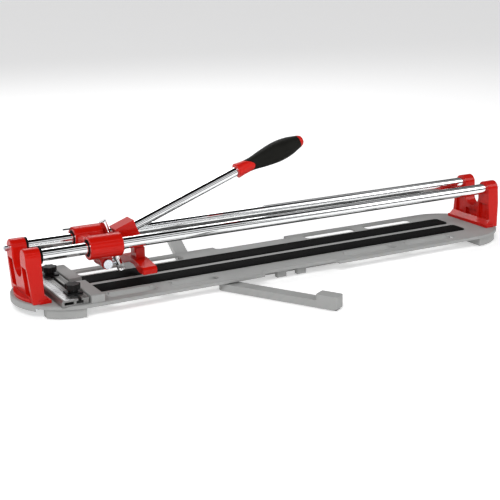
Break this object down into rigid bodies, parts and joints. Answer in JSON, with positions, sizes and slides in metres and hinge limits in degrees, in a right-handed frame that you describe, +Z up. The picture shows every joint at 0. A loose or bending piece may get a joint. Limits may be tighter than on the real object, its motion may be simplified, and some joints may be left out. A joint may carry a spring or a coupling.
{
  "type": "manual tile cutter",
  "caption": "Manual tile cutter with a long cast base, rubber mats, round guide rods in end brackets, a lever carriage with wheel and breaker foot, a ruled fence and swing-out support arms.",
  "frame": {"origin": "on the floor under the middle of the base, at the face of the centre rest pad", "axes": "+X along the guide rods away from the fence, -Y the side the user stands on, +Z up"},
  "size_m": [1.082, 0.6163, 0.2596],
  "materials": {
    "base_grey": "satin",
    "red": "gloss",
    "red_plastic": "gloss",
    "grip_rubber": "matte",
    "mat_rubber": "matte",
    "chrome": "polished",
    "rail_alloy": "satin",
    "steel": "satin",
    "zinc": "satin",
    "black_plastic": "matte",
    "black_steel": "satin",
    "bronze": "satin",
    "carbide": "satin"
  },
  "bodies": {
    "base": {"base_deck": "base_grey", "base_end_left": "base_grey", "base_end_right": "base_grey", "base_side_near": "base_grey", "base_side_far": "base_grey", "foot_pads": "mat_rubber", "centre_pad": "mat_rubber", "mat_near": "mat_rubber", "mat_far": "mat_rubber", "fence_near": "base_grey", "fence_far": "base_grey", "fence_screws": "zinc", "rule_rail": "rail_alloy", "rule_scale": "steel", "rule_screws": "zinc", "bracket_left": "red", "bracket_right": "red", "bracket_screws_left": "zinc", "bracket_screws_right": "zinc", "rod_near": "chrome", "rod_far": "chrome", "rod_end_bolts": "zinc", "rod_grub_screws": "zinc", "bumpers_left": "mat_rubber", "arm_bolt_near": "zinc", "arm_bolt_far": "zinc", "arm_washer_near": "steel", "arm_washer_far": "steel"},
    "carriage": {"carriage_body": "red", "slide_bushes": "bronze", "slide_wipers": "mat_rubber", "slide_screw": "black_steel", "lever_pin": "zinc", "lever_pin_clip": "steel", "pin_screw": "zinc"},
    "lever": {"lever_head": "red", "lever_tube": "chrome", "grip_core": "red_plastic", "grip_sleeve": "grip_rubber", "grip_cap": "red_plastic", "lock_screw": "zinc", "foot_pin": "steel"},
    "wheel_holder": {"wheel_shaft": "chrome", "wheel_pin": "steel"},
    "wheel": {"wheel": "carbide"},
    "breaker_foot": {"breaker_foot": "red"},
    "arm_near": {"arm_near": "base_grey", "arm_pad_near": "mat_rubber"},
    "arm_far": {"arm_far": "base_grey", "arm_pad_far": "mat_rubber"},
    "stop_near": {"stop_plate_near": "black_steel", "stop_bolt_near": "zinc"},
    "stop_far": {"stop_plate_far": "black_steel", "stop_bolt_far": "zinc"},
    "knob_near": {"knob_near": "black_plastic"},
    "knob_far": {"knob_far": "black_plastic"}
  },
  "joints": [
    {"name": "carriage_slide", "type": "slide", "parent": "base", "child": "carriage", "axis": [1, 0, 0], "range_m": [-0.082, 0.774]},
    {"name": "lever_tilt", "type": "hinge", "parent": "carriage", "child": "lever", "pos_m": [-0.367, 0, 0.066], "axis": [0, 1, 0], "range_deg": [-16, 11]},
    {"name": "wheel_depth", "type": "slide", "parent": "lever", "child": "wheel_holder", "axis": [0.3173, 0, -0.9483], "range_m": [-0.005, 0.005]},
    {"name": "wheel_spin", "type": "hinge", "parent": "wheel_holder", "child": "wheel", "pos_m": [-0.33264, 0, 0.047], "axis": [0, 1, 0], "continuous": true},
    {"name": "breaker_tilt", "type": "hinge", "parent": "lever", "child": "breaker_foot", "pos_m": [-0.305, 0, 0.097], "axis": [0, 1, 0], "range_deg": [-6, 6]},
    {"name": "arm_near_swing", "type": "hinge", "parent": "base", "child": "arm_near", "pos_m": [-0.158, -0.088, 0.01], "axis": [0, 0, 1], "range_deg": [-30.2, 54.3]},
    {"name": "arm_far_swing", "type": "hinge", "parent": "base", "child": "arm_far", "pos_m": [-0.158, 0.088, 0.01], "axis": [0, 0, 1], "range_deg": [-66.7, 17.8]},
    {"name": "stop_near_slide", "type": "slide", "parent": "base", "child": "stop_near", "axis": [0, 1, 0], "range_m": [-0.02, 0.027]},
    {"name": "stop_far_slide", "type": "slide", "parent": "base", "child": "stop_far", "axis": [0, 1, 0], "range_m": [-0.015, 0.03]},
    {"name": "knob_near_turn", "type": "hinge", "parent": "stop_near", "child": "knob_near", "pos_m": [-0.4515, -0.066, 0.045], "axis": [0, 0, 1], "continuous": true},
    {"name": "knob_far_turn", "type": "hinge", "parent": "stop_far", "child": "knob_far", "pos_m": [-0.4515, 0.057, 0.045], "axis": [0, 0, 1], "continuous": true}
  ]
}
